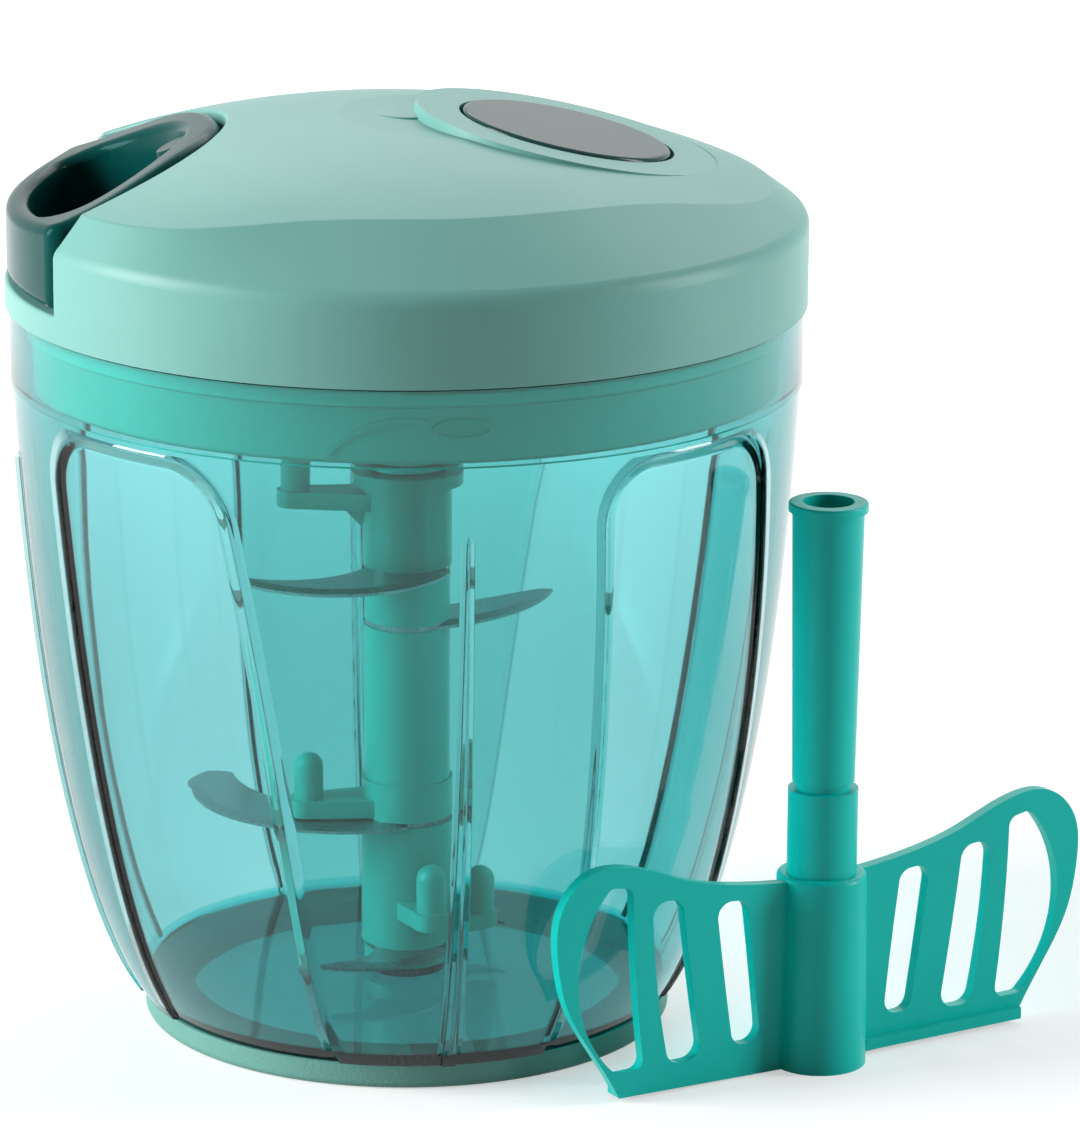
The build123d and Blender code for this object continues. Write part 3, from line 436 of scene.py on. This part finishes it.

# %% [markdown]
# ## Cord
# The cord is a thin braid of white nylon. Two sets of yarns cross at a slant, so two waves at opposite
# slants, multiplied, give the small lozenges. The colour follows the same waves and is darker in the
# hollows between the yarns: painted shade.

# %% Braided cord
def braid_finish(name):
    finish = Finish(name)
    waves = []
    for slant in (1, -1):
        turned = finish.add(
            "ShaderNodeMapping",
            {},
            {"Vector": place_of(finish), "Rotation": (0, slant * 0.8, slant * 0.8)},
        )
        wave = finish.add("ShaderNodeTexWave", {}, {"Vector": turned.outputs[0], "Scale": 450.0})
        waves.append(finish.flow(wave, "Fac"))
    weave = waves[0] * waves[1]
    bump = finish.add("ShaderNodeBump", {}, {"Height": weave, "Strength": 0.6, "Distance": 0.0003})
    # Darker where the weave is low: painted shade in the hollows between the yarns.
    shades = finish.add(
        "ShaderNodeValToRGB",
        {"stops": [(0.0, (0.45, 0.46, 0.45, 1)), (0.6, (0.78, 0.79, 0.77, 1))]},
        {"Fac": weave},
    )
    values = {"Base Color": shades.outputs["Color"], "Roughness": 0.7, "Normal": bump.outputs["Normal"]}
    return finish.show(finish.add("ShaderNodeBsdfPrincipled", {}, values))


cord_braid = braid_finish("cord_braid")
print("cord:", cord_braid.name)

# %% [markdown]
# ## Finishes on the frame's own nodes
# A node whose shape is right stays as it is and only gets its finish. The table
# pairs each finish with the nodes that are made of it.

# %% Give each node its finish
FINISHES = {
    mint: ["lid_cover"],
    dark_gloss: ["handle_lower", "handle_upper"],
    badge_gloss: ["badge"],
    teal_body: ["drive_dog", "whisk_hub", "whisk_tube", "whisk_paddles"],
    housing_teal: ["gear_housing"],
    soft_green: ["base_ring"],
    seal_silicone: ["seal_ring"],
    unit_teal: ["bottom_bush", "lower_spacer", "middle_spacer", "upper_spacer", "blade_spacer"],
    socket_teal: ["drive_socket"],
    steel: [
        "bowl_pin", "cord_guide", "spring_arbor", "spiral_spring", "thrust_washer", "shaft_core",
        "lower_blade", "middle_blade", "second_blade", "upper_blade",
        "handle_screw_1", "handle_screw_2",
    ] + [f"housing_screw_{number}" for number in range(1, 6)],
    white_nylon: ["reel", "spring_cap"],
    cord_braid: ["cord_lead", "cord_end", "cord_winding"],
}


def wear(piece, material):
    piece.data.materials.clear()
    piece.data.materials.append(material)


for material, names in FINISHES.items():
    for name in names:
        wear(nodes[name], material)
wear(nodes["bowl"], clear_bowl)
missing = sorted(set(nodes) - {name for names in FINISHES.values() for name in names} - {"bowl"})
print("nodes without a finish:", missing)

# %% [markdown]
# ## The clear bowl
# A clear wall shows every flaw of its surface, because light bends at each
# facet. The frame's mesh is loose triangles, so each one bends light its own
# way. The new bowl is the same shape with its doubles merged, so that its
# shading runs smoothly over the rounded rims. Its underside is lifted a
# hair's breadth, since two faces at exactly one height fight for the same light.

# %% Merge and smooth the bowl
LIFT = 0.05 * MM


def only(piece):
    bpy.ops.object.select_all(action="DESELECT")
    piece.select_set(True)
    bpy.context.view_layer.objects.active = piece


bowl_shell = nodes["bowl"].copy()
bowl_shell.data = nodes["bowl"].data.copy()
bowl_shell.name = "bowl_shell"
for key in [key for key in bowl_shell.keys() if key.startswith("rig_")]:
    del bowl_shell[key]
bowl_shell.parent = None
bpy.context.collection.objects.link(bowl_shell)
only(bowl_shell)
bpy.ops.object.mode_set(mode="EDIT")
bpy.ops.mesh.select_all(action="SELECT")
bpy.ops.mesh.remove_doubles(threshold=0.004 * MM)
bpy.ops.mesh.customdata_custom_splitnormals_clear()
bpy.ops.mesh.select_all(action="DESELECT")
bpy.ops.object.mode_set(mode="OBJECT")
underside = min(vertex.co.z for vertex in bowl_shell.data.vertices)
for vertex in bowl_shell.data.vertices:
    vertex.select = vertex.co.z < underside + 0.01 * MM
bpy.ops.object.mode_set(mode="EDIT")
bpy.ops.transform.translate(value=(0, 0, LIFT))
bpy.ops.object.mode_set(mode="OBJECT")
bpy.ops.object.shade_smooth_by_angle(angle=math.radians(32))
wear(bowl_shell, clear_bowl)
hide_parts("bowl")
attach(bowl_shell, "bowl")
print("bowl corners after merging:", len(bowl_shell.data.vertices), "of", len(nodes["bowl"].data.vertices))

# %% [markdown]
# The wall is a turned shape, so the direction it faces is known exactly at each height. Those directions
# are written onto the mesh, which hides the long thin triangles that CAD leaves along a rounded rim. The
# rims themselves are drawn by the bead in the finish and by the painted shade along them.

# %% Exact directions on the turned wall
WALL_CURVE = ((45.4, 4.2), (59.5, 23.5), (64.5, 79.7), (66.1, 111.3))
FLOOR_TOP = 6.9
STEP_LOW = 111.2
STEP_HIGH = 111.8


def curve_at(share):
    """A point of the wall's curve and the way that the curve runs there."""
    rest = 1 - share
    point = [
        rest**3 * a + 3 * rest**2 * share * b + 3 * rest * share**2 * c + share**3 * d
        for a, b, c, d in zip(*WALL_CURVE)
    ]
    run = [
        rest**2 * (b - a) + 2 * rest * share * (c - b) + share**2 * (d - c)
        for a, b, c, d in zip(*WALL_CURVE)
    ]
    return point, run


WALL_SLOPES = [(point[1], run[0] / run[1]) for point, run in (curve_at(i / 200) for i in range(201))]


def wall_facing(place):
    """The way that the outer wall faces beside a point, or None off the turned wall."""
    height = place.z / MM
    if height <= FLOOR_TOP or STEP_LOW < height < STEP_HIGH:
        return None
    slope = 0.0
    if height < STEP_LOW:
        slope = min(WALL_SLOPES, key=lambda entry: abs(entry[0] - height))[1]
    return Vector((place.x, place.y, -slope * math.hypot(place.x, place.y))).normalized()


shell = bowl_shell.data
facings = [wall_facing(vertex.co) for vertex in shell.vertices]
kept = [corner.vector.copy() for corner in shell.corner_normals]
turned = 0
for polygon in shell.polygons:
    for index in polygon.loop_indices:
        corner = shell.vertices[shell.loops[index].vertex_index].co
        facing = facings[shell.loops[index].vertex_index]
        if facing is None or math.hypot(corner.x, corner.y) < 40 * MM:
            continue
        lean = polygon.normal.dot(facing)
        if abs(lean) > 0.03:
            kept[index] = facing if lean > 0 else -facing
            turned += 1
shell.normals_split_custom_set(kept)
print("corners on the turned wall:", turned, "of", len(kept))

# %% [markdown]
# ## The cord between lid and handle
# At rest the handle's knot almost touches the lid, and the cord between them is a short stub. Drawn out,
# that stub is what a user sees. It is a thin cylinder with many rings along its length.

# %% A cord that draws out
CORD_HEIGHT = 137.4 * MM
CORD_RADIUS = 0.9 * MM
CORD_START = -30.8 * MM
CORD_END = -31.3 * MM
CORD_RINGS = 24

bpy.ops.object.select_all(action="DESELECT")
bpy.ops.mesh.primitive_cylinder_add(
    vertices=16,
    radius=CORD_RADIUS,
    depth=CORD_START - CORD_END,
    end_fill_type="TRIFAN",
    location=((CORD_START + CORD_END) / 2, 0, CORD_HEIGHT),
    rotation=(0, math.pi / 2, 0),
)
drawn_cord = bpy.context.object
drawn_cord.name = "drawn_cord"
bpy.ops.object.transform_apply(location=True, rotation=True, scale=True)
bpy.ops.object.mode_set(mode="EDIT")
bpy.ops.mesh.select_mode(type="EDGE")
bpy.ops.mesh.select_all(action="DESELECT")
bpy.ops.object.mode_set(mode="OBJECT")
for edge in drawn_cord.data.edges:
    ends = [drawn_cord.data.vertices[index].co.x for index in edge.vertices]
    edge.select = abs(ends[0] - ends[1]) > 0.9 * (CORD_START - CORD_END)
bpy.ops.object.mode_set(mode="EDIT")
bpy.ops.mesh.subdivide(number_cuts=CORD_RINGS)
bpy.ops.object.mode_set(mode="OBJECT")
bpy.ops.object.shade_smooth_by_angle(angle=math.radians(40))
wear(drawn_cord, cord_braid)
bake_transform(drawn_cord)
print("cord rings:", CORD_RINGS, "corners:", len(drawn_cord.data.vertices))

# %% [markdown]
# ## The studio
# A white table top runs out to a white background, under one soft lamp on the
# left, a weaker one on the right and one behind. The floor is a plain pale
# colour. For rays that come from the camera, a reflection or clear plastic, some
# of its own light is added: little beside the object, where the shadow falls,
# and all of it further off, where the table becomes the background.

# %% Floor
GLOW_NEAR = 0.50
GLOW_REACH = (0.16, 0.60)


def seen_share(finish):
    """1 for rays that show a surface as it looks, and 0 for rays that only light others."""
    path = finish.add("ShaderNodeLightPath", {}, {})
    seen = finish.flow(path, "Is Camera Ray") + finish.flow(path, "Is Glossy Ray")
    seen = seen + finish.flow(path, "Is Transmission Ray")
    return seen.maths("MINIMUM", seen, 1.0)


def floor_finish():
    finish = Finish("studio_floor")
    away = finish.add(
        "ShaderNodeVectorMath", {"operation": "LENGTH"}, {0: place_of(finish)}
    ).outputs["Value"]
    fade = finish.add(
        "ShaderNodeMapRange",
        {"interpolation_type": "SMOOTHSTEP"},
        {0: away, 1: GLOW_REACH[0], 2: GLOW_REACH[1], 3: GLOW_NEAR, 4: 1.0},
    )
    diffuse = finish.add("ShaderNodeBsdfDiffuse", {}, {"Color": (0.60, 0.60, 0.60, 1)})
    glow = finish.add("ShaderNodeEmission", {}, {"Color": (1, 1, 1, 1), "Strength": 1.0})
    nothing = finish.add("ShaderNodeBsdfTransparent", {}, {"Color": (0, 0, 0, 1)})
    share = seen_share(finish) * finish.flow(fade)
    gated = finish.add("ShaderNodeMixShader", {}, {0: share, 1: nothing.outputs[0], 2: glow.outputs[0]})
    total = finish.add("ShaderNodeAddShader", {}, {0: diffuse.outputs[0], 1: gated.outputs[0]})
    return finish.show(total)


bpy.ops.object.select_all(action="DESELECT")
bpy.ops.mesh.primitive_plane_add(size=6)
floor = bpy.context.object
floor.name = "studio_floor"
wear(floor, floor_finish())
print("floor:", floor.name)

# %% [markdown]
# The world shows as plain white wherever it is seen, and lights the object only
# a little, so that the soft lamps shape it.

# %% World and lamps
WORLD_LEVEL = 0.05


def studio_world():
    world = bpy.data.worlds.new("studio")
    world.use_nodes = True
    bpy.context.scene.world = world
    studio = Finish("studio", world, "ShaderNodeOutputWorld")
    level = seen_share(studio) * (1 - WORLD_LEVEL) + WORLD_LEVEL
    studio.show(studio.add("ShaderNodeBackground", {}, {"Color": (1, 1, 1, 1), "Strength": level}))


def soft_lamp(name, place, aim, width, height, power):
    lamp = bpy.data.lights.new(name, "AREA")
    lamp.shape = "RECTANGLE"
    lamp.size = width
    lamp.size_y = height
    lamp.energy = power
    holder = bpy.data.objects.new(name, lamp)
    bpy.context.collection.objects.link(holder)
    holder.location = place
    holder.rotation_euler = (Vector(aim) - Vector(place)).to_track_quat("-Z", "Y").to_euler()
    holder.visible_transmission = False
    return holder


studio_world()
AIM = (0, 0, 0.08)
soft_lamp("left_lamp", (-1.15, -0.22, 0.50), AIM, 0.5, 0.9, 25)
soft_lamp("right_lamp", (1.15, -0.04, 0.45), AIM, 0.3, 0.9, 11)
soft_lamp("back_lamp", (0.15, 0.95, 0.95), AIM, 1.2, 0.8, 6.5)
